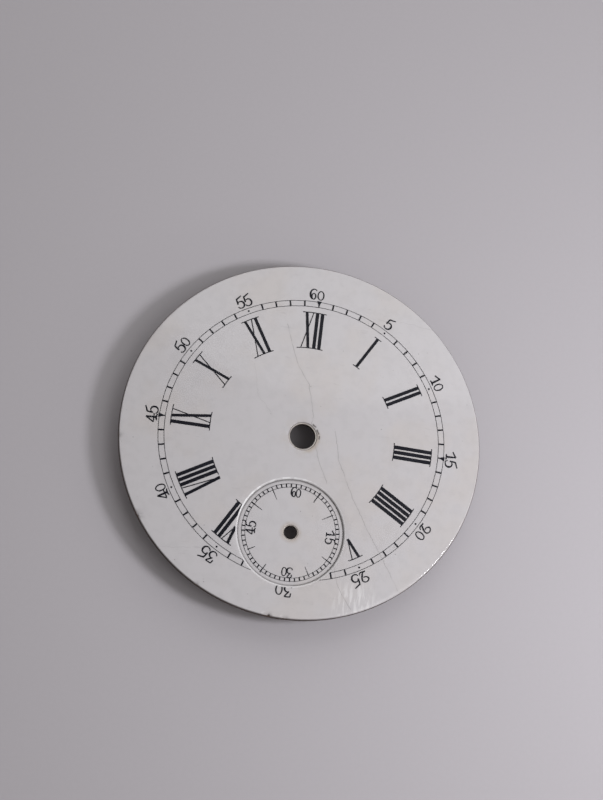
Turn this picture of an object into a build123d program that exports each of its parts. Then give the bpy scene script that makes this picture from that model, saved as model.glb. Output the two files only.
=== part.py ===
from build123d import *
import math
import os

# An enamelled watch dial with a sunk seconds dial, face up on the tips of its three feet.
# X points to 15 minutes, Y to 60 minutes and Z out of the face. The origin is where the
# axis of the centre hole meets the surface that the feet stand on. Sizes are millimetres.

# Body of the dial
dial_diameter = 43.0
face_fall = 0.6  # the domed face is this much lower at its rim than at its centre
front_enamel_thickness = 0.3
plate_thickness = 0.28
back_enamel_thickness = 0.25
rim_lip_width = 0.13  # the copper is turned up round the rim to hold the enamel
rim_lip_rise = 0.12
rim_lip_bare_width = 0.05  # copper left showing outside the enamel, which covers the rest of the lip
rim_round = 0.2  # fire-polished edge of the front enamel
back_rim_bare_width = 0.35  # bare copper round the edge of the counter-enamel
back_round = 0.12

# Centre hole, with its copper collar that stands up through the enamel
centre_bore_diameter = 3.0
centre_collar_wall = 0.18
centre_collar_drop = 0.12  # the collar's top is this far under the face
centre_edge_round = 0.12
centre_back_bare_width = 0.3  # bare copper round the hole on the back

# Seconds dial, a smaller enamelled disc set in an opening of the large one from behind
seconds_offset_share = 0.533  # of the dial's radius, from the centre hole towards 30 minutes
seconds_opening_share = 0.28837  # of the dial's diameter
seconds_bevel_width = 0.2
seconds_bevel_drop = 0.16  # at the inner edge of the bevel
seconds_lap = 0.5  # how far the disc reaches under the edge of the front enamel
seconds_front_thickness = 0.3
seconds_plate_thickness = 0.2
seconds_back_thickness = 0.16
seconds_bore_diameter = 1.56
seconds_collar_wall = 0.1
seconds_collar_drop = 0.08
seconds_edge_round = 0.08
seconds_back_bare_width = 0.3

# Soft solder that holds the seconds disc to the back of the large plate
solder_gap = 0.15
solder_width = 0.55
solder_rise = 0.3
solder_bare_width = 0.3  # bare copper left outside the solder

# Feet: copper wires brazed to the back of the plate
foot_diameter = 1.0
foot_length = 2.9  # from the back of the plate to the tip
foot_circle_share = 0.87  # of the dial's radius
foot_minutes = {"upper_right": 8, "lower_right": 25, "left": 46}
foot_tip_chamfer = 0.12
foot_root_diameter = 1.4  # the wire is upset where the brazing holds it
braze_width = 0.35
braze_height = 0.35
braze_bare_width = 0.15  # bare copper left outside the brazing

# Fired print on the face
print_thickness = 0.025
print_edge_gap = 0.03  # between the print and the bevel of the seconds opening

# Hour numerals: between two circles given as shares of the dial's radius, with the places and
# widths of their strokes as shares of the numerals' height
hour_top_share = 0.7251
hour_bottom_share = 0.5084
hour_bar_width_share = 0.0923
hour_slant_width_share = 0.0773
hour_bar_pitch_share = 0.1315
hour_serif_overhang_share = 0.0558
hour_cross_pitch_share = 0.2146
hour_vee_pitch_share = 0.176
hour_cross_thick_slant_share = 0.133
hour_cross_thin_slant_share = 0.236
hour_vee_top_share = 0.1867
hour_vee_thick_slant_share = 0.0944
hour_short_vee_shares = {5: 0.5258, 7: 0.4614}  # where the seconds opening leaves no room for a whole V
hour_hairline = 0.11
hour_serif_line = 0.1

# Minute track: its circles as shares of the dial's radius
track_outer_share = 0.79
track_inner_share = 0.7577
track_line_width = 0.055
track_shift_length = 0.07  # the track was printed this far off the hole, along X
minute_tick_width = 0.19
minute_tick_overhang = 0.03
five_minute_dot_share = 0.33  # of the track's height
quarter_arrow_width_share = 0.78
quarter_arrow_tip_share = 0.19  # of the arrow's width
quarter_arrow_overhang = 0.12

# Minute numerals: their size and baseline as shares of the dial's radius
minute_numeral_share = 0.0577
minute_numeral_base_share = 0.8019
minute_stem_share = 0.16  # of the numerals' height
minute_pitch_share = 0.758

# Seconds track and its numerals: places and sizes as shares of the opening's radius
seconds_track_outer_share = 0.9194
seconds_track_inner_share = 0.8548
seconds_line_width = 0.045
seconds_tick_width = 0.14
seconds_tick_overhang = 0.03
five_second_mark_outer_width = 0.14
five_second_mark_inner_width = 0.05
seconds_numeral_share = 0.1694
seconds_numeral_base_share = 0.6613
seconds_stem_share = 0.155  # of the numerals' height
seconds_pitch_share = 0.6476
seconds_squeeze_share = 0.88

# Every cut starts and ends this far outside the solid
overrun = 1.0

# Values that follow from the sizes above
dial_radius = dial_diameter / 2
seconds_offset = dial_radius * seconds_offset_share
seconds_opening_radius = dial_radius * seconds_opening_share
foot_circle_radius = dial_radius * foot_circle_share
hour_top_radius = dial_radius * hour_top_share
hour_bottom_radius = dial_radius * hour_bottom_share
hour_height = hour_top_radius - hour_bottom_radius
hour_bar_pitch = hour_height * hour_bar_pitch_share
track_outer_radius = dial_radius * track_outer_share
track_inner_radius = dial_radius * track_inner_share
track_height = track_outer_radius - track_inner_radius
minute_numeral_height = dial_radius * minute_numeral_share
seconds_track_outer_radius = seconds_opening_radius * seconds_track_outer_share
seconds_track_inner_radius = seconds_opening_radius * seconds_track_inner_share
seconds_numeral_height = seconds_opening_radius * seconds_numeral_share
face_sphere = (dial_radius ** 2 + face_fall ** 2) / (2 * face_fall)
plate_front_sphere = face_sphere - front_enamel_thickness
plate_back_sphere = plate_front_sphere - plate_thickness
back_sphere = plate_back_sphere - back_enamel_thickness
seconds_face_sphere = plate_front_sphere
seconds_plate_front_sphere = seconds_face_sphere - seconds_front_thickness
seconds_plate_back_sphere = seconds_plate_front_sphere - seconds_plate_thickness
seconds_back_sphere = seconds_plate_back_sphere - seconds_back_thickness
sphere_centre_height = foot_length - math.sqrt(plate_back_sphere ** 2 - foot_circle_radius ** 2)
seconds_swing = math.degrees(math.asin(seconds_offset / seconds_face_sphere))
centre_bore_radius = centre_bore_diameter / 2
centre_collar_radius = centre_bore_radius + centre_collar_wall
seconds_bore_radius = seconds_bore_diameter / 2
seconds_collar_radius = seconds_bore_radius + seconds_collar_wall
seconds_bevel_radius = seconds_opening_radius + seconds_bevel_width
seconds_disc_radius = seconds_opening_radius + seconds_lap
seconds_seat_radius = seconds_disc_radius + solder_gap
solder_radius = seconds_seat_radius + solder_width
back_opening_radius = solder_radius + solder_bare_width
braze_radius = foot_root_diameter / 2 + braze_width
enamel_radius = dial_radius - rim_lip_width
enamel_cover_radius = dial_radius - rim_lip_bare_width

# The digits, each a list of pen strokes. A stroke is a list of places along it: across and
# up, as shares of the digit's height, and the pen's width there as a share of the stem.
digit_stroke_shares = {
    "0": [],
    "1": [[(-0.56, 0.66, 0.75), (-0.3, 0.8, 0.85), (-0.02, 1.0, 0.9)],
          [(-0.03, 1.0, 0.8), (0.0, 0.5, 1.15), (0.03, 0.05, 1.2)],
          [(-0.24, 0.02, 0.6), (0.03, 0.07, 0.9), (0.3, 0.02, 0.6)]],
    "2": [[(0.08, 0.56, 0.6), (-0.24, 0.6, 0.75), (-0.37, 0.77, 0.85), (-0.25, 0.96, 0.7),
           (0.0, 1.02, 0.6), (0.24, 0.87, 0.8), (0.22, 0.54, 1.0), (0.0, 0.15, 0.8), (-0.06, 0.06, 0.6)],
          [(-0.3, 0.04, 0.7), (-0.06, 0.05, 0.8), (0.12, 0.03, 0.8), (0.36, 0.24, 0.55)]],
    "3": [[(-0.3, 1.05, 0.7), (0.0, 1.08, 0.7), (0.26, 1.08, 0.7)],
          [(-0.29, 1.05, 0.7), (-0.31, 0.72, 0.7)],
          [(0.25, 1.08, 0.7), (0.07, 0.83, 0.8), (-0.14, 0.57, 0.7)],
          [(-0.14, 0.57, 0.6), (0.14, 0.59, 0.8), (0.3, 0.36, 1.1), (0.17, 0.07, 0.9),
           (-0.05, 0.0, 0.65), (-0.25, 0.06, 0.65), (-0.35, 0.22, 0.7)]],
    "4": [[(0.05, 1.06, 0.8), (-0.18, 0.68, 0.75), (-0.42, 0.3, 0.7)],
          [(-0.42, 0.31, 0.75), (0.0, 0.3, 0.65), (0.42, 0.34, 0.6)],
          [(0.04, 1.04, 0.9), (0.06, 0.5, 1.15), (0.08, 0.06, 1.2)],
          [(-0.24, 0.0, 0.6), (0.08, 0.08, 0.95), (0.4, 0.0, 0.6)]],
    "5": [[(0.3, 1.22, 0.6), (0.02, 1.1, 0.8), (-0.27, 1.0, 0.85)],
          [(-0.25, 1.03, 0.8), (-0.28, 0.75, 0.95), (-0.3, 0.45, 0.9)],
          [(-0.3, 0.5, 0.6), (-0.1, 0.68, 0.65), (0.13, 0.65, 0.85), (0.28, 0.38, 1.1),
           (0.17, 0.09, 0.9), (-0.05, 0.0, 0.65), (-0.25, 0.05, 0.65), (-0.37, 0.2, 0.7)]],
    "6": [[(0.29, 0.95, 0.7), (0.06, 1.09, 0.65), (-0.18, 0.97, 0.8), (-0.31, 0.62, 1.1),
           (-0.24, 0.22, 1.0), (-0.03, 0.02, 0.6)]],
}
# Closed loops of the digits: centre across and up, half width, half height, as shares of
# the digit's height, and the pen's width at the sides and at the ends as shares of the stem.
digit_loop_shares = {
    "0": (0.0, 0.5, 0.35, 0.5, 0.8, 0.6),
    "6": (0.03, 0.34, 0.26, 0.35, 0.85, 0.6),
}
# How far each hour numeral's middle lies from its hour line, as shares of the bar pitch
hour_shift_shares = {1: -0.19, 2: -0.39, 3: 0.25, 4: 0.06, 5: -0.17, 7: 0.6, 8: 0.02, 9: -0.05, 10: -0.4,
                     11: -0.13, 12: -0.27}
# How heavy each hour numeral's strokes are, as shares of the full widths
hour_weight_shares = {1: 0.82, 2: 0.93, 3: 1.0, 4: 1.0, 5: 0.9, 7: 0.97, 8: 0.97, 9: 0.95, 10: 0.85, 11: 0.87,
                      12: 0.95}
# Where each minute numeral stands: the step between its digits and its middle's place along
# the track, as shares of the digit pitch, and its rise, as a share of its height
minute_place_shares = {5: (1.0, -0.12, 0.03), 10: (0.86, -0.17, 0.04), 15: (0.93, 0.08, 0.06),
                       20: (1.12, 0.24, 0.05), 25: (1.17, 0.39, -0.01), 30: (1.06, 0.03, 0.3),
                       35: (1.06, 0.22, -0.02), 40: (0.92, -0.05, -0.09), 45: (1.04, 0.07, -0.08),
                       50: (0.96, 0.06, -0.04), 55: (1.0, 0.04, 0.0), 60: (0.96, -0.3, -0.01)}
# The same for the numerals of the seconds dial
seconds_place_shares = {15: (1.15, 0.0, 0.03), 30: (0.9, -0.2, 0.0), 45: (1.2, -0.13, 0.0),
                        60: (0.8, 0.12, 0.05)}
# Where each long mark of the seconds dial starts and ends, as shares of the track's outer
# radius, and how heavy it is, as a share of the full widths
five_second_mark_shares = {5: (1.03, 0.78, 1.35), 10: (0.95, 0.7, 0.8), 20: (1.04, 0.8, 1.05),
                           25: (0.98, 0.75, 0.8), 35: (1.03, 0.82, 1.15), 40: (0.95, 0.78, 0.9),
                           50: (1.0, 0.73, 1.1), 55: (1.0, 0.72, 0.75)}
hour_letters = {1: "I", 2: "II", 3: "III", 4: "IIII", 5: "V", 7: "VII", 8: "VIII", 9: "IX", 10: "X",
                11: "XI", 12: "XII"}
# Widths of a quarter arrow down its length, as shares of its length and of its width
quarter_arrow_shares = [(0.0, 0.86), (0.08, 1.0), (0.22, 0.8), (0.55, 0.4)]
dotted_minutes = (5, 10, 20, 25, 35, 40, 50, 55)
arrow_minutes = (15, 45, 60)


def height_at(sphere_radius, radius):
    """Height of a domed surface at a distance from its axis."""
    return sphere_centre_height + math.sqrt(sphere_radius ** 2 - radius ** 2)


def dome_arc(sphere_radius, start, end):
    """Section of a domed surface from one distance from the axis to another."""
    middle = (start + end) / 2
    places = [(radius, height_at(sphere_radius, radius)) for radius in (start, middle, end)]
    return ThreePointArc(*places)


def turned(section):
    """Solid turned from a section drawn as distance from the axis and height."""
    return revolve(Plane.XZ * section, Axis.Z)


def rounded(section, place, radius):
    """Section with its corner nearest to a place rounded."""
    corner = section.vertices().sort_by_distance((place[0], place[1], 0))[0]
    return fillet(corner, radius)


def domed_ring(top_sphere, bottom_sphere, inner_radius, outer_radius,
               inner_round=0, outer_round=0, outer_end=0):
    """A domed layer between two concentric spheres, with its upper edges rounded.

    A round on outer_end goes to the lower corner of the outer wall instead.
    """
    top = dome_arc(top_sphere, inner_radius, outer_radius)
    bottom = dome_arc(bottom_sphere, outer_radius, inner_radius)
    section = make_face([*top.edges(), Line(top @ 1, bottom @ 0), *bottom.edges(), Line(bottom @ 1, top @ 0)])
    if inner_round:
        section = rounded(section, (inner_radius, height_at(top_sphere, inner_radius)), inner_round)
    if outer_round:
        section = rounded(section, (outer_radius, height_at(top_sphere, outer_radius)), outer_round)
    if outer_end:
        section = rounded(section, (outer_radius, height_at(bottom_sphere, outer_radius)), outer_end)
    return turned(section)


def swung(shape):
    """A shape built round the centre, swung along the dome to the place of the seconds dial."""
    axis = Axis((0, 0, sphere_centre_height), (1, 0, 0))
    return shape.rotate(axis, seconds_swing)


def post(radius, x=0, y=0):
    """A tall upright cylinder for cutting, standing through the whole dial."""
    depth = foot_length + face_sphere - back_sphere + 2 * overrun
    return Pos(x, y, -overrun) * Cylinder(radius, depth, align=(Align.CENTER, Align.CENTER, Align.MIN))


def minute_place(minute, radius):
    """Across and up of a minute's line at a distance from the centre."""
    angle = math.radians(6 * minute)
    return radius * math.sin(angle), radius * math.cos(angle)


def dial_plate():
    """The copper plate with its turned-up rim and the collar of the centre hole."""
    disc = domed_ring(plate_front_sphere, plate_back_sphere, centre_bore_radius, dial_radius)
    lip = domed_ring(plate_front_sphere + rim_lip_rise, plate_front_sphere, enamel_radius, dial_radius,
                     outer_round=rim_lip_width / 3)
    collar = domed_ring(face_sphere - centre_collar_drop, plate_front_sphere, centre_bore_radius,
                        centre_collar_radius)
    opening = domed_ring(plate_front_sphere + overrun, plate_back_sphere - overrun, 0, seconds_seat_radius)
    return disc + lip + collar - swung(opening)


def dial_enamel_front():
    """The white front enamel, polished over at the rim, the hole and the seconds opening."""
    layer = domed_ring(face_sphere, plate_front_sphere, centre_collar_radius, enamel_cover_radius,
                       inner_round=centre_edge_round, outer_round=rim_round)
    layer -= domed_ring(plate_front_sphere + rim_lip_rise, plate_front_sphere - overrun, enamel_radius,
                        dial_radius + overrun)
    opening = domed_ring(face_sphere + overrun, plate_front_sphere - overrun, 0, seconds_opening_radius)
    bevel_low = height_at(face_sphere, seconds_opening_radius) - seconds_bevel_drop
    bevel_high = height_at(face_sphere, seconds_bevel_radius)
    slope = (bevel_high - bevel_low) / seconds_bevel_width
    bevel = turned(make_face(Polyline(
        (0, bevel_low),
        (seconds_opening_radius, bevel_low),
        (seconds_bevel_radius + overrun, bevel_high + slope * overrun),
        (0, bevel_high + slope * overrun),
        close=True,
    )))
    return layer - swung(opening) - swung(bevel)


def dial_enamel_back():
    """The counter-enamel on the back, open round the holes and the feet."""
    layer = domed_ring(plate_back_sphere, back_sphere, centre_bore_radius + centre_back_bare_width,
                       dial_radius - back_rim_bare_width, outer_end=back_round)
    layer -= swung(domed_ring(plate_back_sphere + overrun, back_sphere - overrun, 0, back_opening_radius))
    for minute in foot_minutes.values():
        layer -= post(braze_radius + braze_bare_width, *minute_place(minute, foot_circle_radius))
    return layer


def under_plate():
    """All of the space under the back of the large plate."""
    return domed_ring(plate_back_sphere, plate_back_sphere - foot_length - overrun, 0, dial_radius)


def dial_foot(minute):
    """A copper foot: a wire with an upset root, from the plate to the surface it stands on."""
    to_plate = (Align.CENTER, Align.CENTER, Align.MIN)
    wire = Cylinder(foot_diameter / 2, foot_length, align=to_plate)
    wire = chamfer(wire.edges().sort_by(Axis.Z)[0], foot_tip_chamfer)
    root = Pos(0, 0, foot_length - braze_height) * Cylinder(foot_root_diameter / 2, braze_height + overrun,
                                                            align=to_plate)
    x, y = minute_place(minute, foot_circle_radius)
    return (Pos(x, y, 0) * (wire + root)) & under_plate()


def foot_braze(minute):
    """The brazing that fills the corner between a foot's root and the plate."""
    root_radius = foot_root_diameter / 2
    top = foot_length + overrun
    low = foot_length - braze_height
    hollow = (root_radius + braze_width / 3, foot_length - braze_height / 3)
    section = make_face(Polyline(
        (root_radius, low),
        (root_radius, top),
        (braze_radius, top),
        (braze_radius, foot_length),
        hollow,
        close=True,
    ))
    x, y = minute_place(minute, foot_circle_radius)
    return (Pos(x, y, 0) * turned(section)) & under_plate()


def seconds_plate():
    """The copper of the seconds disc with a collar, and its hole upright for the arbor in it."""
    disc = domed_ring(seconds_plate_front_sphere, seconds_plate_back_sphere, 0, seconds_disc_radius)
    collar = domed_ring(seconds_face_sphere - seconds_collar_drop, seconds_plate_front_sphere, 0,
                        seconds_collar_radius)
    return swung(disc + collar) - post(seconds_bore_radius, 0, -seconds_offset)


def seconds_enamel_front():
    """The white enamel of the seconds disc."""
    return swung(domed_ring(seconds_face_sphere, seconds_plate_front_sphere, seconds_collar_radius,
                            seconds_disc_radius, inner_round=seconds_edge_round))


def seconds_enamel_back():
    """The counter-enamel of the seconds disc."""
    return swung(domed_ring(seconds_plate_back_sphere, seconds_back_sphere,
                            seconds_bore_radius + seconds_back_bare_width, seconds_disc_radius))


def seconds_solder():
    """The ring of soft solder between the seconds disc and the back of the large plate."""
    plate_back = height_at(plate_back_sphere, seconds_seat_radius)
    outer = (solder_radius, height_at(plate_back_sphere, solder_radius))
    low = (seconds_disc_radius, plate_back - solder_rise)
    hollow = (seconds_seat_radius + solder_width / 4, plate_back - solder_rise / 3)
    gap_top = dome_arc(plate_front_sphere, seconds_disc_radius, seconds_seat_radius)
    seat = dome_arc(plate_back_sphere, seconds_seat_radius, solder_radius)
    section = make_face([
        *gap_top.edges(),
        Line(gap_top @ 1, seat @ 0),
        *seat.edges(),
        Line(outer, hollow),
        Line(hollow, low),
        Line(low, gap_top @ 0),
    ])
    return swung(turned(section))


def pen_stroke(places):
    """A pen stroke through places given as across, up and the pen's width there."""
    left_side = []
    right_side = []
    for index, (x, y, width) in enumerate(places):
        before = places[max(index - 1, 0)]
        after = places[min(index + 1, len(places) - 1)]
        run = math.hypot(after[0] - before[0], after[1] - before[1])
        side_x = (before[1] - after[1]) / run * width / 2
        side_y = (after[0] - before[0]) / run * width / 2
        left_side.append((x + side_x, y + side_y))
        right_side.append((x - side_x, y - side_y))
    if len(places) == 2:
        sides = [Line(*left_side), Line(*right_side)]
    else:
        sides = [Spline(*left_side), Spline(*right_side)]
    ends = [Line(left_side[0], right_side[0]), Line(left_side[-1], right_side[-1])]
    return make_face([*sides, *ends])


def digit(name, height, stem, squeeze=1):
    """One digit standing on its baseline, centred across."""
    shape = Sketch()
    for stroke in digit_stroke_shares[name]:
        shape += pen_stroke([(x * height * squeeze, y * height, width * stem) for x, y, width in stroke])
    if name in digit_loop_shares:
        x, y, half_width, half_height, side, end = digit_loop_shares[name]
        outer_x = half_width * height * squeeze
        outer_y = half_height * height
        loop = Ellipse(outer_x, outer_y) - Ellipse(outer_x - side * stem, outer_y - end * stem)
        shape += Pos(x * height * squeeze, y * height) * loop
    return shape


def at_minute(shape, minute, radius=0):
    """A drawing carried out to a radius and turned to a minute's line."""
    return Rot(0, 0, -6 * minute) * Pos(0, radius) * shape


def number(value, height, stem_share, pitch_share, base_radius, place_shares, squeeze=1):
    """A number of one or two digits, upright to its own minute line."""
    step, shift, rise = place_shares
    stem = height * stem_share
    pitch = height * pitch_share
    text = str(value)
    shape = Sketch()
    for index, name in enumerate(text):
        x = ((index - (len(text) - 1) / 2) * step + shift) * pitch
        shape += Pos(x, rise * height) * digit(name, height, stem, squeeze)
    return at_minute(shape, value, base_radius)


def ring_line(radius, width):
    """A printed circle."""
    return Circle(radius + width / 2) - Circle(radius - width / 2)


def bar(top_x, bottom_x, width, top=hour_top_radius, bottom=hour_bottom_radius):
    """A straight stroke of a numeral, as wide across all the way down."""
    return make_face(Polyline(
        (top_x - width / 2, top),
        (top_x + width / 2, top),
        (bottom_x + width / 2, bottom),
        (bottom_x - width / 2, bottom),
        close=True,
    ))


def arc_line(left, right, radius):
    """A serif: a hairline along a circle round the dial, from left to right."""
    band = make_face(Polyline((left, 0), (right, 0), (right, dial_radius), (left, dial_radius), close=True))
    return ring_line(radius, hour_serif_line) & band


def hour_numeral(hour):
    """An hour numeral with its bars, cross strokes and serif lines, before it is trimmed."""
    letters = hour_letters[hour]
    places = [0.0]
    for first, second in zip(letters, letters[1:]):
        steps = {"I": hour_bar_pitch, "X": hour_height * hour_cross_pitch_share,
                 "V": hour_height * hour_vee_pitch_share}
        places.append(places[-1] + max(steps[first], steps[second]))
    middle = (places[0] + places[-1]) / 2 - hour_shift_shares[hour] * hour_bar_pitch
    vee_bottom = hour_top_radius - hour_height * hour_short_vee_shares.get(hour, 1)
    vee_top = hour_height * hour_vee_top_share
    bar_width = hour_height * hour_bar_width_share * hour_weight_shares[hour]
    slant_width = hour_height * hour_slant_width_share * hour_weight_shares[hour]
    shape = Sketch()
    tops = []
    bottoms = []
    for letter, place in zip(letters, places):
        x = place - middle
        if letter == "I":
            shape += bar(x, x, bar_width)
            tops.append(x)
            bottoms.append(x)
        if letter == "X":
            thick = hour_height * hour_cross_thick_slant_share / 2
            thin = hour_height * hour_cross_thin_slant_share / 2
            shape += bar(x - thick, x + thick, slant_width)
            shape += bar(x + thin, x - thin, hour_hairline)
            tops += [x - thick, x + thin]
            bottoms += [x + thick, x - thin]
        if letter == "V":
            left = x - hour_height * hour_vee_thick_slant_share
            shape += bar(left, x, slant_width, bottom=vee_bottom)
            shape += bar(left + vee_top, x, hour_hairline, bottom=vee_bottom)
            tops += [left, left + vee_top]
    shape &= Circle(hour_top_radius) - Circle(hour_bottom_radius)
    reach = hour_height * (hour_bar_width_share / 2 + hour_serif_overhang_share)
    shape += arc_line(min(tops) - reach, max(tops) + reach, hour_top_radius - hour_serif_line / 2)
    if bottoms:
        low_line = hour_bottom_radius + hour_serif_line / 2
        shape += arc_line(min(bottoms) - reach, max(bottoms) + reach, low_line)
    return at_minute(shape, 5 * hour)


def minute_ticks():
    """The short marks of the minutes that have no dot and no arrow."""
    top = track_outer_radius + minute_tick_overhang
    bottom = track_inner_radius - minute_tick_overhang
    tick = bar(0, 0, minute_tick_width, top, bottom)
    return Sketch() + [at_minute(tick, minute) for minute in range(1, 61) if minute % 5]


def five_minute_dots():
    """Round dots half way between the two circles of the minute track."""
    dot = Circle(track_height * five_minute_dot_share / 2)
    middle = (track_outer_radius + track_inner_radius) / 2
    return Sketch() + [at_minute(dot, minute, middle) for minute in dotted_minutes]


def quarter_arrows():
    """Solid arrows that point inwards at the quarters; the lowest is lost to the seconds dial."""
    top = track_outer_radius + quarter_arrow_overhang
    length = top - track_inner_radius
    half_width = track_height * quarter_arrow_width_share / 2
    right = [(half_width * across, top - length * down) for down, across in quarter_arrow_shares]
    right.append((half_width * quarter_arrow_tip_share, track_inner_radius))
    left = [(-x, y) for x, y in reversed(right)]
    arrow = make_face(Polyline(*right, *left, close=True))
    return Sketch() + [at_minute(arrow, minute) for minute in arrow_minutes]


def seconds_ticks():
    """The short marks of the seconds that have no long mark."""
    top = seconds_track_outer_radius + seconds_tick_overhang
    bottom = seconds_track_inner_radius - seconds_tick_overhang
    tick = bar(0, 0, seconds_tick_width, top, bottom)
    seconds = [second for second in range(1, 61) if second not in five_second_mark_shares]
    return Sketch() + [at_minute(tick, second) for second in seconds]


def five_second_marks():
    """Long tapered marks between the quarters of the seconds track."""
    marks = []
    for second, (outer_share, inner_share, weight_share) in five_second_mark_shares.items():
        outer = outer_share * seconds_track_outer_radius
        inner = inner_share * seconds_track_outer_radius
        half_outer = weight_share * five_second_mark_outer_width / 2
        half_inner = weight_share * five_second_mark_inner_width / 2
        mark = make_face(Polyline(
            (-half_outer, outer), (half_outer, outer), (half_inner, inner), (-half_inner, inner), close=True))
        marks.append(at_minute(mark, second))
    return Sketch() + marks


def printed(drawing, sphere_radius):
    """A drawing laid on a domed surface as a thin layer of fired print."""
    low = height_at(sphere_radius, dial_radius) - overrun
    depth = height_at(sphere_radius, 0) + print_thickness + overrun - low
    column = extrude(Pos(0, 0, low) * drawing, depth, dir=(0, 0, 1))
    layer = domed_ring(sphere_radius + print_thickness, sphere_radius, 0, enamel_radius)
    return column & layer


def main_print():
    """Every printed thing on the large dial, by name, clear of the seconds opening."""
    opening_y = -seconds_offset * face_sphere / seconds_face_sphere
    opening = Pos(0, opening_y) * Circle(seconds_bevel_radius + print_edge_gap)
    ticks = minute_ticks()
    dots = five_minute_dots()
    arrows = quarter_arrows()
    rings = ring_line(track_outer_radius, track_line_width) + ring_line(track_inner_radius, track_line_width)
    track = {
        "minute_track_circles": rings - ticks - arrows,
        "minute_ticks": ticks,
        "five_minute_dots": dots,
        "quarter_arrows": arrows,
    }
    drawings = {name: Pos(track_shift_length, 0) * drawing for name, drawing in track.items()}
    for hour, letters in hour_letters.items():
        drawings["hour_numeral_" + letters.lower()] = hour_numeral(hour)
    for minute in range(5, 61, 5):
        drawings["minute_numeral_%02d" % minute] = number(
            minute, minute_numeral_height, minute_stem_share, minute_pitch_share,
            dial_radius * minute_numeral_base_share, minute_place_shares[minute])
    return {name: printed(drawing - opening, face_sphere) for name, drawing in drawings.items()}


def seconds_print():
    """Every printed thing on the seconds dial, by name."""
    numbers = {}
    for value, place_shares in seconds_place_shares.items():
        numbers[value] = number(value, seconds_numeral_height, seconds_stem_share, seconds_pitch_share,
                                seconds_opening_radius * seconds_numeral_base_share, place_shares,
                                seconds_squeeze_share)
    marks = five_second_marks()
    ticks = seconds_ticks()
    rings = ring_line(seconds_track_outer_radius, seconds_line_width)
    rings += ring_line(seconds_track_inner_radius, seconds_line_width)
    rings = rings - ticks - marks
    for drawing in numbers.values():
        ticks -= drawing
        rings -= drawing
    drawings = {
        "seconds_track_circles": rings,
        "seconds_ticks": ticks,
        "five_second_marks": marks,
    }
    for value, drawing in numbers.items():
        drawings["seconds_numeral_%02d" % value] = drawing
    return {name: swung(printed(drawing, seconds_face_sphere)) for name, drawing in drawings.items()}


pieces = {
    "dial_plate": dial_plate(),
    "dial_enamel_front": dial_enamel_front(),
    "dial_enamel_back": dial_enamel_back(),
    "seconds_plate": seconds_plate(),
    "seconds_enamel_front": seconds_enamel_front(),
    "seconds_enamel_back": seconds_enamel_back(),
    "seconds_solder": seconds_solder(),
}
for place, minute in foot_minutes.items():
    pieces["dial_foot_" + place] = dial_foot(minute)
    pieces["foot_braze_" + place] = foot_braze(minute)
pieces.update(main_print())
pieces.update(seconds_print())

os.makedirs("parts", exist_ok=True)
for name, shape in pieces.items():
    export_step(shape, "parts/" + name + ".step")
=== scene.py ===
import math

import bmesh
import bpy
import numpy as np
from bpy.props import FloatProperty, FloatVectorProperty, PointerProperty
from mathutils import Matrix, Vector


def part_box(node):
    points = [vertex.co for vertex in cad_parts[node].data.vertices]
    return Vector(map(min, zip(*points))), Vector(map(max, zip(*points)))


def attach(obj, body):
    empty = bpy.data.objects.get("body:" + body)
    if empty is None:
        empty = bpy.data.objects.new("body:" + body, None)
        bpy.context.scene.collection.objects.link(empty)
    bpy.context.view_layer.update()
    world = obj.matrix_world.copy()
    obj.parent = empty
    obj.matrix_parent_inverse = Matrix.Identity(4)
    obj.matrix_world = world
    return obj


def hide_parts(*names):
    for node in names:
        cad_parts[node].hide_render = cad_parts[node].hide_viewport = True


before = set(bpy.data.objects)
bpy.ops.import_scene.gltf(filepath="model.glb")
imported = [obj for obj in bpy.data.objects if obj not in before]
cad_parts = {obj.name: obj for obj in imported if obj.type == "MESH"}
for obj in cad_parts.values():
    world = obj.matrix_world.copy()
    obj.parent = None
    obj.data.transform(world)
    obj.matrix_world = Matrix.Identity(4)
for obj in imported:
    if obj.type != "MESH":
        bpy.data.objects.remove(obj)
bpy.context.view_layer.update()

# The looks of an enamelled pocket watch dial. Lengths are metres, in the frame of the solids:
# X towards 15 minutes, Y towards 60 minutes, Z out of the face, the feet standing on Z = 0.

bl_info = {
    "name": "Enamel Watch Dial",
    "version": (1, 0, 0),
    "blender": (4, 5, 0),
    "location": "View3D > Sidebar > Watch Dial",
    "description": "Builds the enamel, copper, print and stage of a domed watch dial",
    "category": "Object",
}

MM = 0.001
PLATE_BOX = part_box("dial_plate")

# How finely the round surfaces are divided
RIM_STEP = 0.5  # degrees
SPLIT_ANGLE = -9.5  # degrees; the face is split between its two holes on a line through here
SPLIT_POINTS = 110
UPPER_ROWS = 34
LOWER_ROWS = 16
RING_STEPS = 256
WIRE_STEPS = 48
ARC_STEPS = 6
RIM_ARC_STEPS = 9
BEVEL_STEPS = 7
DISC_ROWS = 22
COPPER_ROWS = 12
SOLDER_ROWS = 9
BRAZE_ROWS = 8
FOOT_ROWS = 14
MERGE_DISTANCE = 0.0004 * MM
CREASE_ANGLE = 38.0  # degrees; sharper edges stay crisp
COPY_CREASE_ANGLE = 30.0

# Unevenness of the solder and the brazing round a turn: count, size in millimetres and phase of sines
SOLDER_REACH_WAVES = ((5, 0.05, 0.4), (11, 0.035, 2.0), (23, 0.02, 1.1))
SOLDER_RISE_WAVES = ((7, 0.02, 0.9), (17, 0.012, 0.2))
BRAZE_WAVES = ((3, 0.03, 0.5), (7, 0.02, 1.4))
BEVEL_BULGE = 0.16  # how much the bevel swells over a straight slope, as a share of its width
ROOT_GAP = 0.03 * MM  # between the wire's last loop and its upset root
BRAZE_SINK = 0.02 * MM  # how far the brazing goes into the plate

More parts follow.
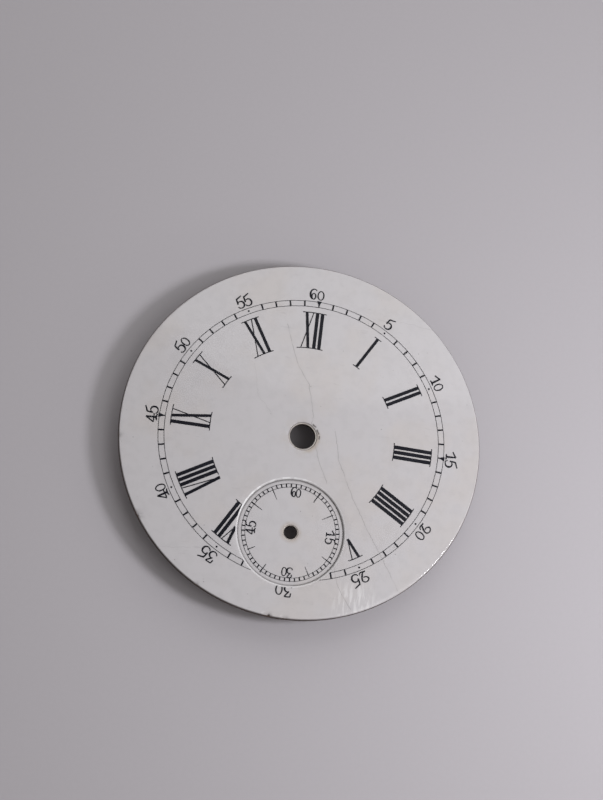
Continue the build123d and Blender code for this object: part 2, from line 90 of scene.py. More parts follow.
# Hairline cracks of the enamel, each a line of places in millimetres
CRACKS = (
    ((-3.46, 13.56), (-1.73, 8.94), (0.0, 6.35), (1.0, 2.6), (0.8, 1.5)),
    ((1.59, -0.87), (2.4, -3.0), (3.46, -5.19)),
    ((3.75, 1.15), (4.62, -2.31), (6.63, -6.35), (8.94, -10.1), (10.96, -12.98), (13.2, -16.4)),
    ((5.19, -14.13), (6.2, -17.0), (7.93, -19.33)),
)
FAINT_CRACKS = (
    ((-6.78, 8.08), (-5.77, 4.04), (-4.04, 2.31)),
    ((-14.4, -15.3), (-11.2, -15.0)),
    ((10.1, 16.2), (14.4, 15.9)),
)
# Short dark nicks at the upper right of the centre hole, in millimetres
HOLE_NICKS = (
    ((1.05, 1.6), (1.35, 1.35)),
    ((1.62, 1.0), (1.8, 0.55)),
    ((1.92, 0.25), (1.95, -0.05)),
)
# Chips at the rim: the clockwise angle from 12, how far along and inwards, and how deep, in millimetres
CHIPS = (
    (184.0, 0.42, 0.16, 0.22),
    (178.6, 0.3, 0.13, 0.16),
    (236.0, 0.55, 0.12, 0.12),
    (208.0, 0.25, 0.1, 0.1),
    (262.0, 0.3, 0.09, 0.1),
)
# Middle of a patch of painted highlights, glossy streaks of reflected light on the face, in millimetres
PAINTED_GLOSS_PLACE = (8.4, -18.7)

# Lamps: name, the setting of its power, place and width in metres, and colour
LAMPS = (
    ("key_lamp", "key", (0.1007, -0.0196, 0.1097), 0.034, (0.97, 0.965, 1.0)),
    ("side_panel", "side", (0.036, 0.205, 0.187), 0.3, (1, 1, 1)),
    ("overhead_panel", "panel", (0.147, -0.07, 0.31), 0.19, (1, 1, 1)),
    ("edge_lamp", "edge", (0.165, -0.088, 0.072), 0.03, (1.0, 0.9, 0.78)),
)
LAMP_AIM = (0, 0, 0.004)
FILL_COLOUR = (1.0, 0.965, 0.92)
TABLE_HALF = 0.9
BACKDROP_STEPS = 96
BACKDROP_RADIUS = 0.5
BACKDROP_FOOT = -0.001
BACKDROP_TOP = 0.2

# Camera: its place, where it looks and what is up in the picture, in the frame of the solids
CAMERA_PLACE = (-0.02127, -0.04905, 0.178585)
CAMERA_AXIS = (0.112, 0.2905, -0.950)
CAMERA_UP = (-0.1556, 0.9497, 0.2716)
FOCAL_LENGTH = 1558  # in picture points
PICTURE_HEIGHT = 800  # in picture points
SENSOR_HEIGHT = 36  # millimetres, along the picture's longer side
NEAREST_SEEN = 0.01


def length(name, description, millimetres):
    """A setting for a length, its default given in millimetres."""
    return FloatProperty(name=name, description=description, default=millimetres * MM, unit="LENGTH",
                         precision=5)


def colour_of(name, description, default):
    """A setting for a colour."""
    return FloatVectorProperty(name=name, description=description, subtype="COLOR", default=default,
                               min=0, max=1)


def power(name, description, default):
    """A setting for the power of a lamp."""
    return FloatProperty(name=name, description=description, default=default, min=0, unit="POWER")


class DialSizes(bpy.types.PropertyGroup):
    """Sizes of the dial's layers and holes."""

    rim_radius: length("Rim Radius", "Outside radius of the copper plate", PLATE_BOX[1].y / MM)
    face_fall: length("Face Fall", "How much lower the face is at its rim", 0.6)
    front_enamel: length("Front Enamel", "Thickness of the front enamel", 0.3)
    plate: length("Plate", "Thickness of the copper plate", 0.28)
    lip_width: length("Lip Width", "Thickness of the turned-up rim", 0.13)
    lip_bare: length("Bare Lip", "Copper left showing outside the front enamel", 0.05)
    lip_rise: length("Lip Rise", "Height of the turned-up rim over the plate", 0.12)
    rim_round: length("Rim Round", "Rounding of the enamel at the rim", 0.2)
    bore_radius: length("Centre Hole", "Radius of the centre hole", 1.5)
    collar_wall: length("Collar Wall", "Wall of the centre hole's collar", 0.18)
    collar_drop: length("Collar Drop", "How far the collar's top is under the face", 0.12)
    collar_round: length("Collar Round", "Rounding of the collar's top edges", 0.04)
    hole_round: length("Hole Round", "Rounding of the enamel at the centre hole", 0.12)
    seconds_offset: length("Seconds Offset", "From the centre to the seconds dial", 11.46)
    opening_radius: length("Seconds Opening", "Radius of the seconds opening", 6.2)
    bevel_width: length("Bevel Width", "Width of the bevel round the opening", 0.2)
    bevel_drop: length("Bevel Drop", "Drop of the bevel at its inner edge", 0.16)
    disc_radius: length("Seconds Disc", "Radius of the seconds disc", 6.7)
    seat_radius: length("Seat", "Radius of the seat that holds the seconds disc", 6.85)
    seconds_front: length("Seconds Enamel", "Thickness of the seconds dial's enamel", 0.3)
    seconds_plate: length("Seconds Plate", "Thickness of the seconds dial's copper", 0.2)
    seconds_bore: length("Seconds Hole", "Radius of the seconds dial's hole", 0.78)
    seconds_wall: length("Seconds Collar Wall", "Wall of the seconds dial's collar", 0.1)
    seconds_drop: length("Seconds Collar Drop", "Collar's top under its enamel", 0.08)
    seconds_collar_round: length("Seconds Collar Round", "Rounding of that collar's top edges", 0.025)
    seconds_round: length("Seconds Hole Round", "Rounding of the enamel at the seconds hole", 0.08)
    solder_width: length("Solder Width", "Reach of the solder over the plate's back", 0.55)
    solder_rise: length("Solder Rise", "Height of the solder against the disc", 0.3)
    foot_length: length("Foot Length", "From the plate's back to a foot's tip", 2.9)
    foot_circle: length("Foot Circle", "Distance of the feet from the centre", 18.705)
    foot_radius: length("Foot Radius", "Radius of the feet", 0.5)
    tip_chamfer: length("Tip Chamfer", "Chamfer at the tips of the feet", 0.12)
    root_radius: length("Root Radius", "Radius of the upset root of a foot", 0.7)
    braze_width: length("Braze Width", "Reach of the brazing round a root", 0.35)
    braze_height: length("Braze Height", "Height of the brazing on a root", 0.35)


class DialColours(bpy.types.PropertyGroup):
    """Colours of the dial's finishes."""

    enamel: colour_of("Enamel", "Glossy white of the face", (0.547, 0.532, 0.548))
    enamel_warm: colour_of("Warm Enamel", "Where the white has yellowed", (0.545, 0.508, 0.49))
    enamel_cool: colour_of("Cool Enamel", "Where the white is greyer", (0.36, 0.35, 0.36))
    # Paler tone of the ground bevel, partly its ground finish and partly painted light, and the colour of its
    # painted highlight at the upper left
    ground_tone_and_painted_glint: colour_of("Ground Enamel", "Glint of the ground bevel", (0.8, 0.8, 0.81))
    # Painted highlight: pale streaks that stand for light reflected in the glaze
    painted_gloss_colour: colour_of("Gloss Streaks", "Glossy streaks on the face", (0.74, 0.73, 0.74))
    hole_stain: colour_of("Hole Stain", "Brown round the centre hole", (0.43, 0.37, 0.31))
    seconds_stain: colour_of("Seconds Stain", "Brown round the seconds hole", (0.40, 0.33, 0.26))
    # Also the colour of painted shade: it darkens the rim towards the lower left
    grime_and_shade: colour_of("Grime", "Dirt in cracks and seams", (0.075, 0.068, 0.066))
    counter: colour_of("Counter-Enamel", "Enamel of the back", (0.5, 0.48, 0.44))
    counter_dark: colour_of("Dark Counter-Enamel", "Darker clouds of the back", (0.33, 0.31, 0.29))
    firing_specks: colour_of("Firing Specks", "Specks of the back", (0.06, 0.05, 0.045))
    rust: colour_of("Rust", "Stains of the back", (0.30, 0.17, 0.09))
    ink: colour_of("Print", "Fired black of the print", (0.0035, 0.004, 0.009))
    ink_pale: colour_of("Pale Print", "Where the print is thinner", (0.008, 0.0085, 0.015))
    pinholes: colour_of("Pinholes", "Pinholes in the print", (0.2, 0.2, 0.21))
    copper: colour_of("Copper", "Bare copper", (0.30, 0.13, 0.075))
    copper_dark: colour_of("Dark Copper", "Fired and tarnished copper", (0.055, 0.034, 0.028))
    copper_scale: colour_of("Copper Scale", "Black scale on the copper", (0.02, 0.014, 0.013))
    collar_film: colour_of("Collar Film", "Film of enamel on the collars", (0.47, 0.44, 0.41))
    braze: colour_of("Brazing", "Brazing at the feet", (0.42, 0.31, 0.15))
    braze_dark: colour_of("Dark Brazing", "Scale on the brazing", (0.09, 0.06, 0.035))
    solder: colour_of("Solder", "Dull soft solder", (0.36, 0.36, 0.37))
    solder_dark: colour_of("Dark Solder", "Darker clouds of the solder", (0.17, 0.165, 0.16))
    flux: colour_of("Flux", "Brown flux on the solder", (0.16, 0.09, 0.045))
    table: colour_of("Table", "Table under the dial", (0.455, 0.435, 0.462))
    backdrop: colour_of("Backdrop", "Cloth round the table", (0.62, 0.6, 0.62))
    backdrop_dark: colour_of("Dark Backdrop", "Shade of the cloth's clouds", (0.59, 0.57, 0.59))
    backdrop_glow: colour_of("Backdrop Glow", "Light from behind the cloth", (1.0, 0.965, 0.98))


class StageLight(bpy.types.PropertyGroup):
    """Power of the studio lamps."""

    key: power("Key Lamp", "Power of the lamp at the right", 0.119)
    side: power("Side Panel", "Power of the soft panel behind", 0.235)
    panel: power("Overhead Panel", "Power of the broad panel above", 0.165)
    edge: power("Edge Lamp", "Power of the small low lamp", 0.01)
    fill: FloatProperty(name="Fill", description="Strength of the even light from all round", default=0.245,
                        min=0)
    glow: FloatProperty(name="Glow", description="Strength of the light behind the cloth", default=0.3, min=0)


class DialShape:
    """Radii and heights that follow from the sizes."""

    def __init__(self, sizes):
        self.sizes = sizes
        self.face = (sizes.rim_radius ** 2 + sizes.face_fall ** 2) / (2 * sizes.face_fall)
        self.front = self.face - sizes.front_enamel
        self.back = self.front - sizes.plate
        self.seconds_front = self.front - sizes.seconds_front
        self.seconds_back = self.seconds_front - sizes.seconds_plate
        self.centre = sizes.foot_length - math.sqrt(self.back ** 2 - sizes.foot_circle ** 2)
        self.swing = math.asin(sizes.seconds_offset / self.front)
        self.enamel_radius = sizes.rim_radius - sizes.lip_width
        self.collar_radius = sizes.bore_radius + sizes.collar_wall

    def height(self, sphere, radius):
        """Height of a domed surface at a distance from the axis: the sphere's centre plus the root of
        its radius squared less that distance squared."""
        return self.centre + np.sqrt(sphere ** 2 - np.asarray(radius) ** 2)

    def level(self, sphere, radius):
        """Height of a domed surface at one distance from the axis, as a plain number."""
        return float(self.height(sphere, radius))

    def spot(self, sphere, radius):
        """A place (radius, height) of a profile, on a domed surface."""
        return radius, self.level(sphere, radius)

    def swung(self, points):
        """Points turned about the X axis through the sphere's centre, to the place of the seconds dial."""
        turned = np.array(points, float)
        y = turned[..., 1].copy()
        z = turned[..., 2] - self.centre
        turned[..., 1] = y * math.cos(self.swing) - z * math.sin(self.swing)
        turned[..., 2] = y * math.sin(self.swing) + z * math.cos(self.swing) + self.centre
        return turned


def shape_now():
    """The dial's shape, from the sizes of the scene."""
    return DialShape(bpy.context.scene.watch_dial_sizes)


def arc(centre, radius, start, end, steps=ARC_STEPS):
    """Places on a quarter turn or less: the centre plus the radius times the cosine and sine."""
    angles = np.radians(np.linspace(start, end, steps))
    return [(centre[0] + radius * math.cos(a), centre[1] + radius * math.sin(a)) for a in angles]


def turned_rows(profile, angles):
    """Loops of a turned surface: each place (radius, height) of the profile goes to radius times the
    cosine and sine of each angle. The profile runs clockwise, outwards on top."""
    places = np.asarray(profile, float)
    rows = np.empty((len(places), len(angles), 3))
    rows[..., 0] = places[:, :1] * np.cos(angles)
    rows[..., 1] = places[:, :1] * np.sin(angles)
    rows[..., 2] = places[:, 1:]
    return rows


def row_faces(count, size, start):
    """Four-sided faces between neighbouring closed loops of equal size, as arrays of point numbers."""
    row = np.arange(count - 1)[:, None]
    column = np.arange(size)[None, :]
    after = (column + 1) % size
    corners = (row * size + column, (row + 1) * size + column, (row + 1) * size + after, row * size + after)
    corners = [np.broadcast_to(corner, (row.size, column.size)) for corner in corners]
    return start + np.stack(corners, -1).reshape(-1, 4)


def piece(name, surfaces, node_names):
    """One mesh from several grids of loops. Points that fall together are merged, and an end that is
    still open gets a flat cap."""
    points = []
    faces = []
    start = 0
    for rows in surfaces:
        rows = np.asarray(rows)
        points.append(rows.reshape(-1, 3))
        faces.append(row_faces(rows.shape[0], rows.shape[1], start))
        start += rows.shape[0] * rows.shape[1]
    points = np.concatenate(points)
    faces = np.concatenate(faces)
    mesh = bpy.data.meshes.new(name)
    mesh.vertices.add(len(points))
    mesh.vertices.foreach_set("co", points.astype(np.float32).ravel())
    mesh.loops.add(faces.size)
    mesh.loops.foreach_set("vertex_index", faces.astype(np.int32).ravel())
    mesh.polygons.add(len(faces))
    mesh.polygons.foreach_set("loop_start", np.arange(0, faces.size, 4, dtype=np.int32))
    mesh.update(calc_edges=True)
    mesh.validate()
    work = bmesh.new()
    work.from_mesh(mesh)
    bmesh.ops.remove_doubles(work, verts=work.verts, dist=MERGE_DISTANCE)
    open_edges = [edge for edge in work.edges if edge.is_boundary]
    if open_edges:
        bmesh.ops.holes_fill(work, edges=open_edges, sides=0)
    work.to_mesh(mesh)
    work.free()
    return placed(name, mesh, node_names, CREASE_ANGLE)


def placed(name, mesh, node_names, crease):
    """A finished mesh shown as a smooth piece that stands for its solids and rides on the dial. Edges
    sharper than the crease stay crisp."""
    mesh.polygons.foreach_set("use_smooth", np.ones(len(mesh.polygons), bool))
    mesh.set_sharp_from_angle(angle=math.radians(crease))
    shown = bpy.data.objects.new(name, mesh)
    bpy.context.scene.collection.objects.link(shown)
    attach(shown, "root")
    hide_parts(*node_names)
    return shown


def smooth_copy(name, node_name):
    """A solid's own mesh, copied, with its loose triangles merged and shaded smooth."""
    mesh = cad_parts[node_name].data.copy()
    mesh.name = name
    mesh.materials.clear()
    work = bmesh.new()
    work.from_mesh(mesh)
    bmesh.ops.remove_doubles(work, verts=work.verts, dist=MERGE_DISTANCE)
    work.to_mesh(mesh)
    work.free()
    return placed(name, mesh, [node_name], COPY_CREASE_ANGLE)


def outer_loops(radius):
    """Outer edges of the upper and the lower part of the face, counter-clockwise: an arc of the rim,
    then the straight split line between its two ends. Both parts share the places on the line."""
    upper = np.radians(np.arange(SPLIT_ANGLE, 180 - SPLIT_ANGLE + RIM_STEP / 2, RIM_STEP))
    lower = np.radians(np.arange(180 - SPLIT_ANGLE, 360 + SPLIT_ANGLE + RIM_STEP / 2, RIM_STEP))
    upper = radius * np.stack([np.cos(upper), np.sin(upper)], -1)
    lower = radius * np.stack([np.cos(lower), np.sin(lower)], -1)
    share = np.linspace(0, 1, SPLIT_POINTS + 2)[1:-1, None]
    line = upper[-1] + (upper[0] - upper[-1]) * share
    return np.concatenate([upper, line]), np.concatenate([lower, line[::-1]])


def rim_angles():
    """Angles of the rim's points, all round."""
    return np.radians(np.arange(SPLIT_ANGLE, 360 + SPLIT_ANGLE - RIM_STEP / 2, RIM_STEP))


class HoledDome:
    """Places the loops of a domed sheet with a round hole in its middle and one for the seconds dial.

    Each part of the sheet is a grid: a place is its hole's edge plus a share of the way to the outer
    edge, and its height is the dome's there.
    """

    def __init__(self, shape, rim):
        self.shape = shape
        upper, lower = outer_loops(rim)
        centre_y = -shape.sizes.seconds_offset
        self.centre_angles = np.arctan2(upper[:, 1], upper[:, 0])
        self.seconds_angles = np.arctan2(lower[:, 1] - centre_y, lower[:, 0])

    def sheet(self, sphere, rim, centre_radius, seconds_radius, up):
        """The two grids of one side of the sheet, facing up or down."""
        shape = self.shape
        upper, lower = outer_loops(rim)
        centre_edge = turned_rows([(centre_radius, 0)], self.centre_angles)[0, :, :2]
        seconds_edge = turned_rows([shape.spot(sphere, seconds_radius)], self.seconds_angles)
        seconds_edge = shape.swung(seconds_edge)[0, :, :2]
        grids = []
        for inner, outer, rows in ((centre_edge, upper, UPPER_ROWS), (seconds_edge, lower, LOWER_ROWS)):
            share = np.linspace(0, 1, rows)[:, None, None]
            flat = inner + (outer - inner) * share
            height = shape.height(sphere, np.hypot(flat[..., 0], flat[..., 1]))
            grid = np.concatenate([flat, height[..., None]], -1)
            grids.append(grid if up else grid[::-1])
        return grids

    def centre_ring(self, profile):
        """A turned surface round the centre hole."""
        return turned_rows(profile, self.centre_angles)

    def seconds_ring(self, profile):
        """A turned surface round the seconds opening, swung to its place."""
        return self.shape.swung(turned_rows(profile, self.seconds_angles))

    def rim_ring(self, profile):
        """A turned surface round the rim."""
        return turned_rows(profile, rim_angles())


def chipped(points, rim):
    """Points near each chip moved down and inwards by a bell of the distance along the rim and in
    from it, so that the edge is broken there."""
    moved = np.array(points)
    radius = np.hypot(moved[..., 0], moved[..., 1])
    clock = np.degrees(np.arctan2(moved[..., 0], moved[..., 1])) % 360
    for angle, along, inward, depth in CHIPS:
        turn = (clock - angle + 180) % 360 - 180
        distance = np.radians(turn) * rim / (along * MM)
        ragged = 1 + 0.35 * np.sin(turn * 9.0) + 0.2 * np.sin(turn * 23.0)
        bell = np.exp(-distance ** 4 - ((rim - radius) / (inward * MM)) ** 2) * ragged
        moved[..., 2] -= depth * MM * bell
        shrink = 1 - 0.45 * inward * MM * bell / rim
        moved[..., 0] *= shrink
        moved[..., 1] *= shrink
    return moved


def wavy(angles, waves):
    """A sum of sines round a turn, from the count, size in millimetres and phase of each wave."""
    return sum(size * MM * np.sin(count * angles + phase) for count, size, phase in waves)


def full_turn(steps):
    """Angles evenly round a turn."""
    return np.radians(np.linspace(0, 360, steps, endpoint=False))


class Flow:
    """The output of a node. Arithmetic on it adds Math nodes to its material."""

    def __init__(self, paint, socket):
        self.paint = paint
        self.socket = socket

    def __add__(self, other):
        return self.paint.math("ADD", self, other)

    def __sub__(self, other):
        return self.paint.math("SUBTRACT", self, other)

    def __mul__(self, other):
        return self.paint.math("MULTIPLY", self, other)

    def __rsub__(self, other):
        return self.paint.math("SUBTRACT", other, self)

    __radd__ = __add__
    __rmul__ = __mul__

    def between(self, low, high):
        """0 below low, 1 above high and an S curve between; the other way round if low is the larger."""
        return self.paint.node("ShaderNodeMapRange", {"interpolation_type": "SMOOTHSTEP"},
                               {"Value": self, "From Min": low, "From Max": high})


class Paint:
    """A material whose nodes are written as expressions, on places in millimetres."""

    def __init__(self, name):
        self.material = bpy.data.materials.new(name)
        self.material.use_nodes = True
        self.tree = self.material.node_tree
        self.shader = self.tree.nodes["Principled BSDF"]
        self.place = self.scaled(self.node("ShaderNodeTexCoord", output="Object"), 1 / MM)
        self.flat = self.vector("MULTIPLY", self.place, (1, 1, 0))

    def put(self, socket, value):
        """Links a flow to a socket, or sets the socket to a value."""
        if isinstance(value, Flow):
            self.tree.links.new(value.socket, socket)
        elif socket.type == "RGBA" and len(value) == 3:
            socket.default_value = (*value, 1)
        else:
            socket.default_value = value

    def node(self, kind, settings=None, values=None, output=0):
        """A node of a type, with its settings and then the values or links of its sockets."""
        made = self.tree.nodes.new(kind)
        for key, value in (settings or {}).items():
            setattr(made, key, value)
        for key, value in (values or {}).items():
            self.put(made.inputs[key], value)
        return Flow(self, made.outputs[output])

    def math(self, operation, first, second=0.0, clamp=False):
        """A Math node of two values."""
        settings = {"operation": operation, "use_clamp": clamp}
        return self.node("ShaderNodeMath", settings, {0: first, 1: second})

    def vector(self, operation, first, second=(0, 0, 0), output=0):
        """A Vector Math node of two vectors."""
        return self.node("ShaderNodeVectorMath", {"operation": operation}, {0: first, 1: second}, output)

    def scaled(self, vector, factor):
        """A vector times a number."""
        return self.node("ShaderNodeVectorMath", {"operation": "SCALE"}, {0: vector, "Scale": factor})

    def mix(self, first, second, factor):
        """One colour going over to another."""
        return self.node("ShaderNodeMix", {"data_type": "RGBA"}, {0: factor, 6: first, 7: second}, 2)

    def noise(self, size, detail=3.0, rough=0.5, where=None, stretch=None):
        """Cloudy noise whose blotches are about the given size across, in millimetres."""
        where = self.place if where is None else where
        if stretch:
            where = self.vector("MULTIPLY", where, stretch)
        return self.node("ShaderNodeTexNoise", None, {"Vector": where, "Scale": 1 / size, "Detail": detail,
                                                      "Roughness": rough})

    def cells(self, size):
        """Distance to the nearest of many scattered points, as a share of their spacing."""
        return self.node("ShaderNodeTexVoronoi", None, {"Vector": self.place, "Scale": 1 / size})

    def toward(self, direction):
        """How far a place lies along a direction, times the direction's length."""
        return self.vector("DOT_PRODUCT", self.place, direction, 1)

    def from_point(self, x, y, where=None):
        """Distance in the plane of the face from a place, in millimetres."""
        return self.vector("DISTANCE", self.flat if where is None else where, (x, y, 0), 1)

    def from_lines(self, lines, where):
        """Distance to the nearest of several bent lines: for each straight run, the place less its
        start, less the run times the clamped share of the way along it."""
        nearest = None
        for line in lines:
            for (ax, ay), (bx, by) in zip(line, line[1:]):
                run = Vector((bx - ax, by - ay, 0))
                start = self.vector("SUBTRACT", where, (ax, ay, 0))
                share = self.vector("DOT_PRODUCT", start, tuple(run / run.length_squared), 1)
                along = self.scaled(tuple(run), self.math("ADD", share, 0.0, clamp=True))
                distance = self.vector("LENGTH", self.vector("SUBTRACT", start, along), (0, 0, 0), 1)
                nearest = distance if nearest is None else self.math("MINIMUM", nearest, distance)
        return nearest

    def bump(self, height, depth):
        """Small relief: a height in shares of the depth, in millimetres."""
        return self.node("ShaderNodeBump", None, {"Height": height, "Distance": depth * MM, "Strength": 1.0})

    def finish(self, **values):
        """Sets the shader's sockets, named with underscores, and gives the material."""
        for key, value in values.items():
            self.put(self.shader.inputs[key.replace("_", " ").title().replace("Ior", "IOR")], value)
        return self.material


def wobbled(paint, amount, size):
    """Flat places pushed about by noise, so that straight runs look broken."""
    shake = paint.node("ShaderNodeTexNoise", None, {"Vector": paint.place, "Scale": 1 / size, "Detail": 3.0},
                       "Color")
    shake = paint.vector("SUBTRACT", shake, (0.5, 0.5, 0.5))
    moved = paint.vector("ADD", paint.flat, paint.scaled(shake, amount))
    return paint.vector("MULTIPLY", moved, (1, 1, 0))


def white_enamel(paint, colours):
    """Colour, share of dark specks and pits, and roughness of glossy white enamel: cloudy warm and cool
    patches, specks and pinholes."""
    cloud = paint.noise(6.5, 4.0)
    colour = paint.mix(colours.enamel, colours.enamel_warm, cloud.between(0.45, 0.72) * 0.5)
    cool = 1 - paint.noise(1.1, 3.0).between(0.3, 0.6)
    colour = paint.mix(colour, colours.enamel_cool, cool * 0.112)
    specks = paint.cells(1.15).between(0.075, 0.03) * paint.noise(2.7, 2.0).between(0.5, 0.62)
    pits = paint.cells(0.52).between(0.09, 0.03) * paint.noise(1.9, 2.0).between(0.56, 0.66)
    rough = 0.075 + 0.1 * paint.noise(3.1, 3.0).between(0.45, 0.75)
    return colour, specks * 0.5 + pits * 0.35, rough


def enamel_finish(paint, colours, colour, dirt_and_shade, rough):
    """The finished enamel: its dirt and painted shade go towards one dark colour and sit a little sunk in a
    faintly rippled surface.
    """
    dirt_and_shade = paint.math("MINIMUM", dirt_and_shade, 0.92)
    colour = paint.mix(colour, colours.grime_and_shade, dirt_and_shade)
    ripple = paint.noise(3.4, 2.0) + paint.noise(0.6, 2.0) * 0.12 - dirt_and_shade * 0.5
    return paint.finish(base_color=colour, roughness=rough, normal=paint.bump(ripple, 0.012), ior=1.5)


def seconds_enamel_material(name, colours, sizes):
    """White enamel of the seconds dial, brown round its hole and dirty at its edge."""
    paint = Paint(name)
    colour, dirt_and_shade, rough = white_enamel(paint, colours)
    bore = sizes.seconds_bore / MM
    opening = sizes.opening_radius / MM
    distance = paint.from_point(0, -sizes.seconds_offset / MM)
    halo = distance.between(bore + 0.72, bore + 0.07) * 0.5
    patchy = 0.45 + 0.55 * paint.noise(1.6, 3.0).between(0.3, 0.65)
    colour = paint.mix(colour, colours.seconds_stain, halo * patchy)
    dirt_and_shade = dirt_and_shade + distance.between(opening - 0.25, opening + 0.05) * 0.85
    return enamel_finish(paint, colours, colour, dirt_and_shade, rough)


def front_enamel_material(name, colours, sizes):
    """White enamel of the large dial: hairline cracks, scuffs, painted highlights in glossy streaks, grime in
    the seams, a ground bevel painted paler with a painted highlight at its upper left, and a rim with grime
    all round and painted shade at the lower left."""
    paint = Paint(name)
    colour, dirt_and_shade, rough = white_enamel(paint, colours)
    collar = (sizes.bore_radius + sizes.collar_wall) / MM
    opening = sizes.opening_radius / MM
    bevel = opening + sizes.bevel_width / MM
    rim = sizes.rim_radius / MM
    cracks = paint.from_lines(CRACKS, wobbled(paint, 0.35, 0.9))
    faint = paint.from_lines(FAINT_CRACKS, wobbled(paint, 0.6, 0.7))
    crack = cracks.between(0.045, 0.01) * (0.1 + 0.26 * paint.noise(1.3, 2.0).between(0.32, 0.5))
    dirt_and_shade = dirt_and_shade + crack + cracks.between(0.3, 0.0) * 0.03 + faint.between(0.05, 0.015) * 0.1

    hole_place = wobbled(paint, 0.25, 0.5)
    hole = paint.from_point(0, 0, hole_place)
    nicks = paint.from_lines(HOLE_NICKS, hole_place).between(0.13, 0.05)
    crescent = paint.toward((0.9, -0.43, 0)).between(0.7, 1.7) * hole.between(collar + 0.57, collar + 0.12)
    halo = hole.between(collar + 1.42, collar + 0.07) * paint.noise(1.2, 3.0).between(0.35, 0.6)
    dirt_and_shade = dirt_and_shade + hole.between(collar + 0.1, collar + 0.02) * 0.25 + nicks * 0.75

    middle = paint.from_point(0, -sizes.seconds_offset / MM)
    # The ground bevel is painted paler all round, partly its ground finish and partly painted light, and gets
    # a painted highlight on its upper left side
    ground = middle.between(bevel + 0.07, bevel - 0.02)
    painted_glint = paint.toward((-0.04, 0.07, 0)).between(-0.62, -0.28) * paint.noise(0.5, 3.0).between(0.4, 0.6)
    colour = paint.mix(colour, colours.ground_tone_and_painted_glint, ground * (0.3 + 0.68 * painted_glint))
    # Grime in the seam of the opening and along the rim all round; the rim also gets painted shade, darker
    # towards the lower left, the side away from the key lamp
    painted_shade_side = paint.toward((-0.035, -0.033, 0)).between(0.25, 0.8)
    edge = paint.from_point(0, 0).between(rim - 0.2, rim - 0.07)
    dirt_and_shade = dirt_and_shade + middle.between(opening + 0.07, opening - 0.03) * 0.6 + edge * (0.12 + 0.78 * painted_shade_side)

    # Painted highlight: pale glossy streaks near the lower right rim stand for light reflected in the glaze
    streaks = paint.noise(0.5, 3.0, 0.6, where=wobbled(paint, 0.3, 1.5), stretch=(1.5, 0.25, 1))
    painted_gloss = paint.from_point(*PAINTED_GLOSS_PLACE).between(3.6, 1.0) * streaks.between(0.45, 0.62)
    colour = paint.mix(colour, colours.painted_gloss_colour, painted_gloss * 0.6)
    colour = paint.mix(colour, colours.hole_stain, halo * 0.2 + crescent * 0.6)
    scuffs = paint.noise(0.55, 4.0, 0.7, stretch=(0.25, 1.6, 1)).between(0.6, 0.72)
    scuffs = scuffs * paint.noise(5.0, 2.0).between(0.5, 0.62)
    dirt_and_shade = dirt_and_shade + scuffs * 0.16
    rough = rough + scuffs * 0.3 + crack * 0.3 + ground * 0.22
    return enamel_finish(paint, colours, colour, dirt_and_shade, rough)


def print_material(name, colours):
    """Fired black print: a deep navy black, a little uneven, with pale pinholes."""
    paint = Paint(name)
    cloud = paint.noise(0.9, 3.0)
    colour = paint.mix(colours.ink, colours.ink_pale, cloud.between(0.45, 0.75))
    pinholes = paint.cells(0.42).between(0.12, 0.05) * paint.noise(1.4, 2.0).between(0.52, 0.62)
    colour = paint.mix(colour, colours.pinholes, pinholes * 0.35)
    rough = 0.25 + 0.2 * paint.noise(0.35, 3.0)
    return paint.finish(base_color=colour, roughness=rough, ior=1.5, specular_ior_level=0.22,
                        normal=paint.bump(paint.noise(0.3, 3.0), 0.006))


def counter_material(name, colours):
    """Counter-enamel: an uneven grey white with dark firing specks, pits and rusty stains."""
    paint = Paint(name)
    cloud = paint.noise(4.2, 5.0, 0.6)
    colour = paint.mix(colours.counter, colours.counter_dark, cloud.between(0.42, 0.7) * 0.6)
    specks = paint.cells(0.6).between(0.16, 0.08) * paint.noise(1.7, 3.0).between(0.45, 0.6)
    colour = paint.mix(colour, colours.firing_specks, specks * 0.75)
    stain = paint.noise(7.0, 3.0).between(0.56, 0.72) * paint.noise(0.8, 3.0).between(0.35, 0.7)
    colour = paint.mix(colour, colours.rust, stain * 0.5)
    peel = paint.noise(0.7, 3.0) + paint.noise(2.4, 2.0) - specks * 0.6
    rough = 0.22 + 0.25 * cloud
    return paint.finish(base_color=colour, roughness=rough, ior=1.5, normal=paint.bump(peel, 0.05))


def copper_material(name, colours, bright=0.0, collar=None):
    """Copper gone brown and black in the kiln, with brighter rubbed places and fine scratches. The top
    of a collar, given as its place along Y, inner and outer radius and height, is pale with a film of
    enamel."""
    paint = Paint(name)
    cloud = paint.noise(1.5, 5.0, 0.6)
    scratches = paint.noise(0.12, 3.0, 0.6, stretch=(0.1, 1.4, 1))
    rubbed = cloud.between(0.62 - bright, 0.8 - bright)
    colour = paint.mix(colours.copper_dark, colours.copper, rubbed * (0.55 + 0.45 * scratches))
    scale = paint.noise(0.5, 4.0).between(0.55, 0.7)
    colour = paint.mix(colour, colours.copper_scale, scale * 0.6 * (1 - rubbed))
    rough = 0.42 + 0.3 * cloud - 0.12 * rubbed
    metal = 0.35 + 0.55 * rubbed
    if collar:
        along, inner, outer, height = collar
        distance = paint.from_point(0, along)
        level = paint.toward((0, 0, 1))
        film = distance.between(inner + 0.005, inner + 0.03) * distance.between(outer, outer - 0.02)
        film = film * level.between(height - 0.1, height - 0.05) * (0.65 + 0.35 * cloud.between(0.3, 0.6))
        colour = paint.mix(colour, colours.collar_film, film)
        metal = metal * (1 - film)
    relief = paint.noise(0.35, 4.0) + scratches * 0.4
    return paint.finish(base_color=colour, roughness=rough, metallic=metal, normal=paint.bump(relief, 0.02))


